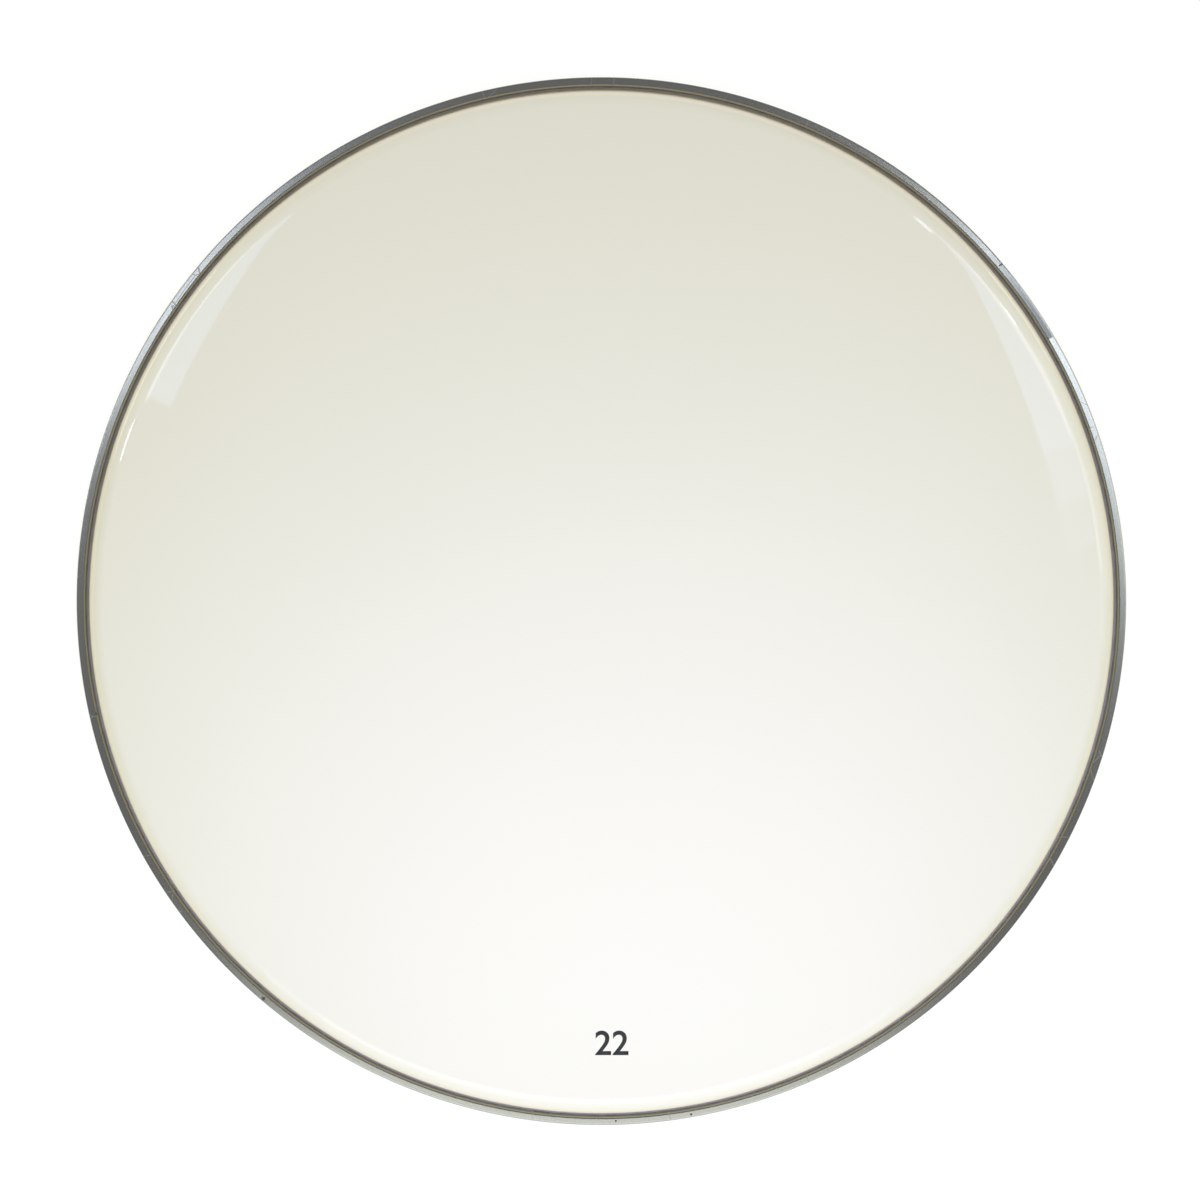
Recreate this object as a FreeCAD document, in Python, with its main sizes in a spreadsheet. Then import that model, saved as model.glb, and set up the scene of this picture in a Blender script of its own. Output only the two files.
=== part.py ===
import FreeCAD, Part
import math
import os

import Sketcher

# Drum head. A plastic film is moulded with a flat face, a rolled-off edge and a collar, and turns out into a
# flange at its foot. The foot stands in a channel rolled from aluminium strip and is locked there by cast
# resin, which flows through holes in the flange. The strip's two ends meet at a seam, joined by a curved pin
# in the hollow behind the lip.
# The head lies flat with its film up: the origin is the centre of the hoop's base, and +Z is the drum's axis.

# Driving sizes, in millimetres, degrees and counts
SIZES = {
    "bore_diameter": 558.8,  # inside of the hoop: a 22 inch drum
    "strip_thickness": 0.8,  # aluminium strip that the hoop is rolled from
    "channel_width": 8.0,  # hoop from its bore to its outside
    "hoop_height": 10.0,
    "wall_height": 7.0,  # inner wall of the channel
    "bend_radius": 0.8,  # inside of the channel's two bottom bends
    "top_bend": 0.2,  # inside of the bend between the outer wall and the top
    "top_fall": 5.0,  # of the top, down towards the outside
    "lip_bend": 0.7,  # inside of the bend from the top down into the lip
    "lip_drop": 0.7,  # end of the lip, below the round hollow that holds the pin
    "groove_width": 1.45,  # open groove between the film and the lip
    "seam_angle": 30.8,  # where the strip's ends meet, from +X
    "seam_gap": 0.2,
    "pin_length": 56.0,
    "pin_clearance": 0.25,
    "pin_chamfer": 0.3,
    "film_thickness": 0.3,
    "film_gap": 0.3,  # between the top of the channel's inner wall and the film's skirt
    "collar_lean": 8.0,  # of the skirt, inward from upright
    "collar_rise": 6.5,  # from the top of the inner wall to the centre of the collar's bend
    "collar_radius": 9.5,
    "roll_width": 70.0,  # rolled-off zone between the flat face and the collar
    "roll_radius": 900.0,
    "flange_lift": 0.2,  # of the flange, clear of the round of the channel's bottom bends
    "flange_bend": 0.6,
    "flange_clearance": 1.4,  # between the flange and the channel's outer wall
    "key_diameter": 1.8,  # holes in the flange that the resin flows through
    "key_count": 72,
    "lip_immersion": 0.55,  # end of the lip in the resin behind it
    "groove_rise": 1.3,  # resin in the groove, above the resin behind the lip
}

# Sizes that follow from the driving ones
DERIVED = {
    "bore_radius": "Sizes.bore_diameter / 2",
    "outer_radius": "bore_radius + Sizes.channel_width",
    "wall_back": "bore_radius + Sizes.strip_thickness",
    "outer_back": "outer_radius - Sizes.strip_thickness",
    "bend_outside": "Sizes.bend_radius + Sizes.strip_thickness",
    "lean_cos": "cos(Sizes.collar_lean)",
    "lean_sin": "sin(Sizes.collar_lean)",
    "skirt_inside": "wall_back + Sizes.film_gap",
    "skirt_reach": "skirt_inside * lean_cos + Sizes.wall_height * lean_sin",
    "lip_face": "skirt_inside + Sizes.film_thickness / lean_cos + Sizes.groove_width",
    "lip_back": "lip_face + Sizes.strip_thickness",
    "fall_cos": "cos(Sizes.top_fall)",
    "fall_sin": "sin(Sizes.top_fall)",
    "top_outside": "Sizes.top_bend + Sizes.strip_thickness",
    "lip_outside": "Sizes.lip_bend + Sizes.strip_thickness",
    "top_centre": "outer_radius - top_outside",
    "lip_centre": "lip_face + lip_outside",
    "lip_height": "Sizes.hoop_height - lip_outside",
    "top_height": "lip_height + (lip_outside - top_outside - (top_centre - lip_centre) * fall_sin) / fall_cos",
    "hollow_radius": "(outer_back - lip_back) / 2",
    "hollow_centre": "(outer_back + lip_back) / 2",
    "hollow_height": "lip_height + (Sizes.lip_bend - hollow_radius - (hollow_centre - lip_centre) * fall_sin)"
    " / fall_cos",
    "lip_end": "hollow_height - hollow_radius - Sizes.lip_drop",
    "resin_top": "lip_end + Sizes.lip_immersion",
    "groove_fill": "resin_top + Sizes.groove_rise",
    "collar_inside": "Sizes.collar_radius - Sizes.film_thickness",
    "collar_height": "Sizes.wall_height + Sizes.collar_rise",
    "collar_centre": "(skirt_reach - collar_inside - collar_height * lean_sin) / lean_cos",
    "flat_radius": "collar_centre - Sizes.roll_width",
    "flange_under": "Sizes.strip_thickness + 2 * Sizes.bend_radius + Sizes.flange_lift",
    "flange_top": "flange_under + Sizes.film_thickness",
    "flange_end": "outer_back - Sizes.flange_clearance",
    "foot_outside": "Sizes.flange_bend + Sizes.film_thickness",
    "foot_height": "flange_under + foot_outside",
    "foot_centre": "(skirt_reach + foot_outside - foot_height * lean_sin) / lean_cos",
    "key_circle": "(foot_centre + flange_end) / 2",
    "pin_radius": "hollow_radius - Sizes.pin_clearance",
    "seam_turn": "Sizes.seam_gap / hollow_centre * 180 / pi",
    "pin_turn": "Sizes.pin_length / hollow_centre * 180 / pi",
}

# How a sketch numbers its own axes and the points of a line or an arc
SKETCH_AXIS_ACROSS = -1
SKETCH_AXIS_UP = -2
START = 1
END = 2
CENTRE = 3

DRUM_AXIS = FreeCAD.Vector(0, 0, 1)
SKETCH_NORMAL = FreeCAD.Vector(0, 0, 1)
WHOLE_TURN = 360

# The hoop's tight bends are drawn as equal arcs, which keeps their faces narrow and their meshes even
BEND_ARCS = 2


def fill_sheet(name, cells):
    """Puts each named value or formula in a cell of a new sheet, under that name as its alias."""
    sheet = doc.addObject("Spreadsheet::Sheet", name)
    for row, (alias, content) in enumerate(cells.items(), start=1):
        sheet.set(f"A{row}", alias)
        sheet.set(f"B{row}", str(content))
        sheet.setAlias(f"B{row}", alias)
    doc.recompute()
    return sheet


def new_body(label):
    body = doc.addObject("PartDesign::Body", label)
    body.Label = label
    return body


def new_sketch(body, plane_role, name):
    """An empty sketch on one of the body's own origin planes."""
    sketch = body.newObject("Sketcher::SketchObject", name)
    plane = next(feature for feature in body.Origin.OriginFeatures if feature.Role == plane_role)
    sketch.AttachmentSupport = [(plane, "")]
    sketch.MapMode = "FlatFace"
    return sketch


def point(across, up):
    return FreeCAD.Vector(across, up, 0)


class Outline:
    """A closed outline in a sketch. Lines and arcs follow each other, and every arc meets its neighbours
    smoothly."""

    def __init__(self, sketch):
        self.sketch = sketch
        self.pieces = {}
        self.arcs = {}

    def line(self, name, start, end):
        index = self.sketch.addGeometry(Part.LineSegment(point(*start), point(*end)))
        self.pieces[name] = (index, START, END)

    def arc(self, name, start, end, centre, left, parts=1):
        """An arc that turns left or right on its way from start to end, in equal parts. The first part has
        the arc's own name."""
        radius = math.dist(start, centre)
        first, last = (math.atan2(spot[1] - centre[1], spot[0] - centre[0]) for spot in (start, end))
        turn = (last - first) % math.tau if left else -((first - last) % math.tau)
        circle = Part.Circle(point(*centre), SKETCH_NORMAL, radius)
        for number in range(parts):
            angles = [first + turn * step / parts for step in (number, number + 1)]
            index = self.sketch.addGeometry(Part.ArcOfCircle(circle, min(angles), max(angles)))
            part = f"{name}_{number}" if number else name
            self.pieces[part] = (index, START, END) if left else (index, END, START)
            self.arcs[part] = name
            if number:
                self.concentric(name, part)
                self.sketch.addConstraint(Sketcher.Constraint("Angle", index, abs(turn) / parts))

    def close(self):
        """Joins each piece to the next one, and the last to the first."""
        names = list(self.pieces)
        for name, following in zip(names, names[1:] + names[:1]):
            smooth = self.arcs.get(name) != self.arcs.get(following)
            index, _, last = self.pieces[name]
            next_index, first, _ = self.pieces[following]
            kind = "Tangent" if smooth else "Coincident"
            self.sketch.addConstraint(Sketcher.Constraint(kind, index, last, next_index, first))

    def level(self, *names):
        for name in names:
            self.sketch.addConstraint(Sketcher.Constraint("Horizontal", self.pieces[name][0]))

    def upright(self, *names):
        for name in names:
            self.sketch.addConstraint(Sketcher.Constraint("Vertical", self.pieces[name][0]))

    def concentric(self, name, other):
        centres = (self.pieces[name][0], CENTRE, self.pieces[other][0], CENTRE)
        self.sketch.addConstraint(Sketcher.Constraint("Coincident", *centres))

    def starts_on(self, name, axis):
        index, first, _ = self.pieces[name]
        self.sketch.addConstraint(Sketcher.Constraint("PointOnObject", index, first, axis))

    def across(self, name, expression):
        """Distance from the drum's axis to the start of a piece."""
        bind(self.sketch, f"{name}_across", "DistanceX", self.pieces[name][:2], expression)

    def up(self, name, expression):
        """Height of the start of a piece above the hoop's base."""
        bind(self.sketch, f"{name}_up", "DistanceY", self.pieces[name][:2], expression)

    def centre_across(self, name, expression):
        """Distance from the drum's axis to an arc's centre."""
        bind(self.sketch, f"{name}_centre_across", "DistanceX", (self.pieces[name][0], CENTRE), expression)

    def centre_up(self, name, expression):
        """Height of an arc's centre above the hoop's base."""
        bind(self.sketch, f"{name}_centre_up", "DistanceY", (self.pieces[name][0], CENTRE), expression)

    def radius(self, name, expression):
        bind(self.sketch, f"{name}_radius", "Radius", self.pieces[name][:1], expression)


def bind(sketch, name, kind, references, expression):
    """A named dimension of a sketch that follows the sheets."""
    value = sketch.evalExpression(expression)
    index = sketch.addConstraint(Sketcher.Constraint(kind, *references, value))
    sketch.renameConstraint(index, name)
    sketch.setExpression(f"Constraints.{name}", expression)


def off(centre, distance, angle):
    """The point at a distance from a centre, at an angle up from level."""
    return (centre[0] + distance * math.cos(angle), centre[1] + distance * math.sin(angle))


def circle_in(sketch, name, across, up, radius):
    """A circle in a sketch, with its centre and radius given as expressions."""
    place = point(sketch.evalExpression(across), sketch.evalExpression(up))
    circle = Part.Circle(place, SKETCH_NORMAL, sketch.evalExpression(radius))
    index = sketch.addGeometry(circle)
    bind(sketch, f"{name}_across", "DistanceX", (index, CENTRE), across)
    bind(sketch, f"{name}_up", "DistanceY", (index, CENTRE), up)
    bind(sketch, f"{name}_radius", "Radius", (index,), radius)


def revolve(body, sketch, name):
    """Turns a sketch round the drum's axis, a whole turn unless its Angle is bound to something else."""
    feature = body.newObject("PartDesign::Revolution", name)
    feature.Profile = sketch
    feature.ReferenceAxis = (sketch, ["V_Axis"])
    feature.Angle = WHOLE_TURN
    return feature


def cut_through(body, sketch, name):
    """Pocket from the sketch's plane along its normal, right through. A cut this small is lost in the ring's
    measured volume, so the faces that it leaves are counted."""
    doc.recompute()
    faces_before = len(body.Shape.Faces)
    pocket = body.newObject("PartDesign::Pocket", name)
    pocket.Profile = sketch
    pocket.Type = "ThroughAll"
    pocket.Reversed = True
    doc.recompute()
    if not len(body.Shape.Faces) > faces_before:
        raise RuntimeError(f"{name} cuts nothing")
    return pocket


def turn_to_seam(body, extra="0"):
    """Turns a body that is drawn about the +X axis round to the hoop's seam."""
    rotation = FreeCAD.Rotation(DRUM_AXIS, sizes.seam_angle)
    body.Placement = FreeCAD.Placement(FreeCAD.Vector(), rotation)
    body.setExpression("Placement.Rotation.Angle", f"Sizes.seam_angle + {extra}")


def make_hoop_channel():
    """Aluminium strip rolled into a channel whose outer wall turns in over the top and down into a lip."""
    body = new_body("hoop_channel")
    sketch = new_sketch(body, "XZ_Plane", "channel_section")
    bore, outside = derived.bore_radius, derived.outer_radius
    wall_back, outer_back = derived.wall_back, derived.outer_back
    lip_face, lip_back = derived.lip_face, derived.lip_back
    top_height, lip_height, lip_end = derived.top_height, derived.lip_height, derived.lip_end
    top_centre = (derived.top_centre, top_height)
    lip_centre = (derived.lip_centre, lip_height)
    facing = math.pi / 2 - math.radians(sizes.top_fall)
    top_outer = off(top_centre, derived.top_outside, facing)
    top_inner = off(lip_centre, derived.lip_outside, facing)
    under_inner = off(lip_centre, sizes.lip_bend, facing)
    under_outer = off(top_centre, sizes.top_bend, facing)
    bend = derived.bend_outside
    floor = sizes.strip_thickness
    wall_top = sizes.wall_height
    inner_round, outer_round = bore + bend, outside - bend
    inner_centre = (inner_round, bend)
    outer_centre = (outer_round, bend)

    outline = Outline(sketch)
    outline.line("bore_face", (bore, wall_top), (bore, bend))
    outline.arc("inner_bend", (bore, bend), (inner_round, 0), inner_centre, True, BEND_ARCS)
    outline.line("base_face", (inner_round, 0), (outer_round, 0))
    outline.arc("outer_bend", (outer_round, 0), (outside, bend), outer_centre, True, BEND_ARCS)
    outline.line("outer_face", (outside, bend), (outside, top_height))
    outline.arc("top_bend", (outside, top_height), top_outer, top_centre, True, BEND_ARCS)
    outline.line("top", top_outer, top_inner)
    outline.arc("lip_bend", top_inner, (lip_face, lip_height), lip_centre, True, BEND_ARCS)
    outline.line("lip_face", (lip_face, lip_height), (lip_face, lip_end))
    outline.line("lip_edge", (lip_face, lip_end), (lip_back, lip_end))
    outline.line("lip_back", (lip_back, lip_end), (lip_back, lip_height))
    outline.arc("lip_bend_inside", (lip_back, lip_height), under_inner, lip_centre, False, BEND_ARCS)
    outline.line("top_under", under_inner, under_outer)
    outline.arc("top_bend_inside", under_outer, (outer_back, top_height), top_centre, False, BEND_ARCS)
    outline.line("outer_back", (outer_back, top_height), (outer_back, bend))
    outline.arc("outer_bend_inside", (outer_back, bend), (outer_round, floor), outer_centre, False, BEND_ARCS)
    outline.line("floor", (outer_round, floor), (inner_round, floor))
    outline.arc("inner_bend_inside", (inner_round, floor), (wall_back, bend), inner_centre, False, BEND_ARCS)
    outline.line("wall_back", (wall_back, bend), (wall_back, wall_top))
    outline.line("wall_edge", (wall_back, wall_top), (bore, wall_top))
    outline.close()
    outline.upright("bore_face", "outer_face", "lip_face", "lip_back", "wall_back")
    outline.level("base_face", "lip_edge", "wall_edge")
    outline.concentric("inner_bend", "inner_bend_inside")
    outline.concentric("outer_bend", "outer_bend_inside")
    outline.concentric("top_bend", "top_bend_inside")
    outline.concentric("lip_bend", "lip_bend_inside")
    outline.starts_on("base_face", SKETCH_AXIS_ACROSS)
    outline.across("bore_face", "Derived.bore_radius")
    outline.across("outer_face", "Derived.outer_radius")
    outline.up("wall_edge", "Sizes.wall_height")
    outline.up("lip_edge", "Derived.lip_end")
    outline.centre_up("top_bend", "Derived.top_height")
    outline.centre_up("lip_bend", "Derived.lip_height")
    outline.centre_across("lip_bend", "Derived.lip_centre")
    outline.radius("inner_bend", "Derived.bend_outside")
    outline.radius("outer_bend", "Derived.bend_outside")
    outline.radius("inner_bend_inside", "Sizes.bend_radius")
    outline.radius("outer_bend_inside", "Sizes.bend_radius")
    outline.radius("top_bend", "Derived.top_outside")
    outline.radius("top_bend_inside", "Sizes.top_bend")
    outline.radius("lip_bend", "Derived.lip_outside")
    outline.radius("lip_bend_inside", "Sizes.lip_bend")

    ring = revolve(body, sketch, "channel_ring")
    ring.setExpression("Angle", "360 - Derived.seam_turn")
    turn_to_seam(body, "Derived.seam_turn / 2")
    return body


def make_splice_pin():
    """Curved dowel in the hollow behind the lip, half of it on each side of the seam."""
    body = new_body("splice_pin")
    sketch = new_sketch(body, "XZ_Plane", "pin_section")
    circle_in(sketch, "pin", "Derived.hollow_centre", "Derived.hollow_height", "Derived.pin_radius")
    bar = revolve(body, sketch, "pin_bar")
    bar.Midplane = True
    bar.setExpression("Angle", "Derived.pin_turn")
    doc.recompute()
    rims = [
        f"Edge{number}"
        for number, edge in enumerate(bar.Shape.Edges, start=1)
        if math.isclose(edge.Length, 2 * math.pi * derived.pin_radius, rel_tol=1e-6)
    ]
    chamfer = body.newObject("PartDesign::Chamfer", "pin_ends")
    chamfer.Base = (bar, rims)
    chamfer.setExpression("Size", "Sizes.pin_chamfer")
    turn_to_seam(body)
    return body


def make_head_film():
    """Film with its flat face, rolled-off edge, collar, leaning skirt and the flange at its foot."""
    body = new_body("head_film")
    sketch = new_sketch(body, "XZ_Plane", "film_section")
    flat, flange_end = derived.flat_radius, derived.flange_end
    flange_top, flange_under = derived.flange_top, derived.flange_under
    foot_centre = (derived.foot_centre, derived.foot_height)
    foot = derived.foot_centre
    collar_centre = (derived.collar_centre, derived.collar_height)
    roll_inside = sizes.roll_radius - sizes.film_thickness
    roll_turn = math.asin(sizes.roll_width / (sizes.roll_radius - sizes.collar_radius))
    roll_drop = (sizes.roll_radius - sizes.collar_radius) * math.cos(roll_turn)
    roll_centre = (flat, derived.collar_height - roll_drop)
    face_top = roll_centre[1] + sizes.roll_radius
    face_under = roll_centre[1] + roll_inside
    lean = math.radians(sizes.collar_lean)

    bend_start = math.pi / 2 - roll_turn
    bend_top = off(collar_centre, sizes.collar_radius, bend_start)
    bend_under = off(collar_centre, derived.collar_inside, bend_start)
    skirt_top_out = off(collar_centre, sizes.collar_radius, lean)
    skirt_top_in = off(collar_centre, derived.collar_inside, lean)
    skirt_foot_out = off(foot_centre, -sizes.flange_bend, lean)
    skirt_foot_in = off(foot_centre, -derived.foot_outside, lean)

    outline = Outline(sketch)
    outline.line("face_top", (0, face_top), (flat, face_top))
    outline.arc("roll_top", (flat, face_top), bend_top, roll_centre, left=False)
    outline.arc("collar_top", bend_top, skirt_top_out, collar_centre, left=False)
    outline.line("skirt_out", skirt_top_out, skirt_foot_out)
    outline.arc("foot_out", skirt_foot_out, (foot, flange_top), foot_centre, left=True)
    outline.line("flange_top", (foot, flange_top), (flange_end, flange_top))
    outline.line("flange_edge", (flange_end, flange_top), (flange_end, flange_under))
    outline.line("flange_under", (flange_end, flange_under), (foot, flange_under))
    outline.arc("foot_in", (foot, flange_under), skirt_foot_in, foot_centre, left=False)
    outline.line("skirt_in", skirt_foot_in, skirt_top_in)
    outline.arc("collar_under", skirt_top_in, bend_under, collar_centre, left=True)
    outline.arc("roll_under", bend_under, (flat, face_under), roll_centre, left=True)
    outline.line("face_under", (flat, face_under), (0, face_under))
    outline.line("axis_edge", (0, face_under), (0, face_top))
    outline.close()
    outline.level("face_top", "face_under", "flange_top", "flange_under")
    outline.upright("flange_edge", "axis_edge")
    outline.concentric("roll_top", "roll_under")
    outline.concentric("collar_top", "collar_under")
    outline.concentric("foot_out", "foot_in")
    outline.starts_on("face_top", SKETCH_AXIS_UP)
    outline.across("roll_top", "Derived.flat_radius")
    outline.across("flange_edge", "Derived.flange_end")
    outline.up("flange_top", "Derived.flange_top")
    outline.centre_across("foot_out", "Derived.foot_centre")
    outline.centre_across("collar_top", "Derived.collar_centre")
    outline.centre_up("collar_top", "Derived.collar_height")
    outline.radius("roll_top", "Sizes.roll_radius")
    outline.radius("roll_under", "Sizes.roll_radius - Sizes.film_thickness")
    outline.radius("collar_top", "Sizes.collar_radius")
    outline.radius("foot_out", "Sizes.flange_bend")
    outline.radius("foot_in", "Derived.foot_outside")
    revolve(body, sketch, "film_shell")

    key = new_sketch(body, "XY_Plane", "key_circle")
    circle_in(key, "key", "Derived.key_circle", "0", "Sizes.key_diameter / 2")
    hole = cut_through(body, key, "key_hole")
    pattern = body.newObject("PartDesign::PolarPattern", "key_holes")
    pattern.Originals = [hole]
    pattern.Axis = (key, ["N_Axis"])
    pattern.Angle = WHOLE_TURN
    pattern.setExpression("Occurrences", "Sizes.key_count")
    body.Tip = pattern
    return body


def make_resin_bond(film):
    """Resin cast in the channel, round the film's foot and the end of the lip."""
    ring = new_body("resin_ring")
    sketch = new_sketch(ring, "XZ_Plane", "resin_section")
    wall_back, outer_back = derived.wall_back, derived.outer_back
    lip_face, lip_back = derived.lip_face, derived.lip_back
    top, fill, lip_end = derived.resin_top, derived.groove_fill, derived.lip_end
    floor, bend = sizes.strip_thickness, derived.bend_outside
    inner = wall_back + sizes.bend_radius
    outer = outer_back - sizes.bend_radius

    outline = Outline(sketch)
    outline.line("inner_side", (wall_back, fill), (wall_back, bend))
    outline.arc("inner_corner", (wall_back, bend), (inner, floor), (inner, bend), left=True)
    outline.line("floor", (inner, floor), (outer, floor))
    outline.arc("outer_corner", (outer, floor), (outer_back, bend), (outer, bend), left=True)
    outline.line("outer_side", (outer_back, bend), (outer_back, top))
    outline.line("outer_top", (outer_back, top), (lip_back, top))
    outline.line("lip_back", (lip_back, top), (lip_back, lip_end))
    outline.line("lip_edge", (lip_back, lip_end), (lip_face, lip_end))
    outline.line("lip_face", (lip_face, lip_end), (lip_face, fill))
    outline.line("groove_top", (lip_face, fill), (wall_back, fill))
    outline.close()
    outline.upright("inner_side", "outer_side", "lip_back", "lip_face")
    outline.level("floor", "outer_top", "lip_edge", "groove_top")
    outline.across("inner_side", "Derived.wall_back")
    outline.across("outer_side", "Derived.outer_back")
    outline.across("lip_back", "Derived.lip_back")
    outline.across("lip_face", "Derived.lip_face")
    outline.up("floor", "Sizes.strip_thickness")
    outline.up("outer_top", "Derived.resin_top")
    outline.up("groove_top", "Derived.groove_fill")
    outline.up("lip_edge", "Derived.lip_end")
    outline.radius("inner_corner", "Sizes.bend_radius")
    outline.radius("outer_corner", "Sizes.bend_radius")
    revolve(ring, sketch, "resin_fill")

    bond = doc.addObject("Part::Cut", "resin_bond")
    bond.Base = ring
    bond.Tool = film
    bond.Label = "resin_bond"
    return bond


def check_document():
    """Stops if any object failed, which a recompute can leave without a message."""
    for item in doc.Objects:
        if {"Invalid", "Error"} & set(item.State):
            raise RuntimeError(f"{item.Label} failed: {item.State}")
        if item.isDerivedFrom("Sketcher::SketchObject") and not item.FullyConstrained:
            raise RuntimeError(f"{item.Label} isn't fully constrained")


def check_shape(sub_part):
    shape = sub_part.Shape
    if shape.isNull() or not shape.isValid() or len(shape.Solids) != 1:
        raise RuntimeError(f"{sub_part.Label} isn't one valid solid")


doc = FreeCAD.newDocument("DrumHead")
sizes = fill_sheet("Sizes", SIZES)
derived = fill_sheet("Derived", {alias: f"={formula}" for alias, formula in DERIVED.items()})
hoop_channel = make_hoop_channel()
splice_pin = make_splice_pin()
head_film = make_head_film()
resin_bond = make_resin_bond(head_film)
doc.recompute()
check_document()

sub_parts = [head_film, hoop_channel, resin_bond, splice_pin]
for sub_part in sub_parts:
    check_shape(sub_part)
os.makedirs("parts", exist_ok=True)
for sub_part in sub_parts:
    sub_part.Shape.exportStep(f"parts/{sub_part.Label}.step")
    box = sub_part.Shape.BoundBox
    print(f"{sub_part.Label}: {sub_part.Shape.Volume:.1f} mm3, height {box.ZMin:.2f} to {box.ZMax:.2f}")
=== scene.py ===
# Drum head, dressed for its picture. A milky white film, moulded with a rolled-off edge and a leaning
# collar, stands in a hoop rolled from satin aluminium strip, with cast resin in the groove between them.
import math

import bmesh
import bpy
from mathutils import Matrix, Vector


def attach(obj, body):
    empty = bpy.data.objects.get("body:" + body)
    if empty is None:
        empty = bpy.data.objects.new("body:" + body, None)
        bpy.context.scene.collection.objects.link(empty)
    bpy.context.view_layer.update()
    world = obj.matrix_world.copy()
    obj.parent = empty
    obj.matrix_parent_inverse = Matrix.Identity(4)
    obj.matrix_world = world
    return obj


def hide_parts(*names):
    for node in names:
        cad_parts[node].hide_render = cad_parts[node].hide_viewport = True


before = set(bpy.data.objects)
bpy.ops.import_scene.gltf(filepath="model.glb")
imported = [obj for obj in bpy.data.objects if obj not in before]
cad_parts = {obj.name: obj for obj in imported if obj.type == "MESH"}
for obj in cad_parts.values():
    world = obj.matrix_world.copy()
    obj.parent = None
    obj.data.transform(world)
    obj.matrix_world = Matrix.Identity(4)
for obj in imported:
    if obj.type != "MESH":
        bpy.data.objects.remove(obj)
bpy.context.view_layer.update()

# Sizes of the hoop, in millimetres and degrees
MM = 0.001
BORE_RADIUS = 279.4
CHANNEL_WIDTH = 8.0
HOOP_HEIGHT = 10.0
STRIP_THICKNESS = 0.8
WALL_HEIGHT = 7.0
BEND_RADIUS = 0.8
TOP_BEND = 0.2
TOP_FALL = 5.0
LIP_BEND = 0.7
LIP_DROP = 0.7
GROOVE_WIDTH = 1.45
SEAM_ANGLE = 30.8
SEAM_GAP = 0.2
EDGE_ROUND = 0.2

# Sizes of the film
FILM_THICKNESS = 0.3
FILM_GAP = 0.3
COLLAR_LEAN = 8.0
COLLAR_RISE = 6.5
COLLAR_RADIUS = 9.5
ROLL_WIDTH = 70.0
ROLL_RADIUS = 900.0
FLANGE_LIFT = 0.2
FLANGE_BEND = 0.6
FLANGE_CLEARANCE = 1.4

# Sizes that follow from those
OUTER_RADIUS = BORE_RADIUS + CHANNEL_WIDTH
WALL_BACK = BORE_RADIUS + STRIP_THICKNESS
OUTER_BACK = OUTER_RADIUS - STRIP_THICKNESS
BEND_OUTSIDE = BEND_RADIUS + STRIP_THICKNESS
LEAN = math.radians(COLLAR_LEAN)
SKIRT_INSIDE = WALL_BACK + FILM_GAP
SKIRT_REACH = SKIRT_INSIDE * math.cos(LEAN) + WALL_HEIGHT * math.sin(LEAN)
LIP_FACE = SKIRT_INSIDE + FILM_THICKNESS / math.cos(LEAN) + GROOVE_WIDTH
LIP_BACK = LIP_FACE + STRIP_THICKNESS
FALL = math.radians(TOP_FALL)
TOP_OUTSIDE = TOP_BEND + STRIP_THICKNESS
LIP_OUTSIDE = LIP_BEND + STRIP_THICKNESS
TOP_CENTRE = OUTER_RADIUS - TOP_OUTSIDE
LIP_CENTRE = LIP_FACE + LIP_OUTSIDE
LIP_HEIGHT = HOOP_HEIGHT - LIP_OUTSIDE
TOP_RISE = LIP_OUTSIDE - TOP_OUTSIDE - (TOP_CENTRE - LIP_CENTRE) * math.sin(FALL)
TOP_HEIGHT = LIP_HEIGHT + TOP_RISE / math.cos(FALL)
HOLLOW_RADIUS = (OUTER_BACK - LIP_BACK) / 2
HOLLOW_CENTRE = (OUTER_BACK + LIP_BACK) / 2
HOLLOW_RISE = LIP_BEND - HOLLOW_RADIUS - (HOLLOW_CENTRE - LIP_CENTRE) * math.sin(FALL)
LIP_END = LIP_HEIGHT + HOLLOW_RISE / math.cos(FALL) - HOLLOW_RADIUS - LIP_DROP
COLLAR_INSIDE = COLLAR_RADIUS - FILM_THICKNESS
COLLAR_HEIGHT = WALL_HEIGHT + COLLAR_RISE
COLLAR_CENTRE = (SKIRT_REACH - COLLAR_INSIDE - COLLAR_HEIGHT * math.sin(LEAN)) / math.cos(LEAN)
FLAT_RADIUS = COLLAR_CENTRE - ROLL_WIDTH
ROLL_TURN = math.asin(ROLL_WIDTH / (ROLL_RADIUS - COLLAR_RADIUS))
ROLL_DEPTH = COLLAR_HEIGHT - (ROLL_RADIUS - COLLAR_RADIUS) * math.cos(ROLL_TURN)
FLANGE_UNDER = STRIP_THICKNESS + 2 * BEND_RADIUS + FLANGE_LIFT
FLANGE_TOP = FLANGE_UNDER + FILM_THICKNESS
FLANGE_END = OUTER_BACK - FLANGE_CLEARANCE
FOOT_OUTSIDE = FLANGE_BEND + FILM_THICKNESS
FOOT_HEIGHT = FLANGE_UNDER + FOOT_OUTSIDE
FOOT_CENTRE = (SKIRT_REACH + FOOT_OUTSIDE - FOOT_HEIGHT * math.sin(LEAN)) / math.cos(LEAN)

# How finely the turned pieces are divided
FILM_COLUMNS = 480
HOOP_COLUMNS = 720
FACE_RINGS = 9
ROLL_RINGS = 28
COLLAR_RINGS = 40
TOP_RINGS = 14
LIP_RINGS = 20
BEND_RINGS = 8
FOOT_RINGS = 5
EDGE_RINGS = 3
DENT_COLUMNS = 24
WELD_DISTANCE = 1e-6
SHARP_ANGLE = math.radians(35)

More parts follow.
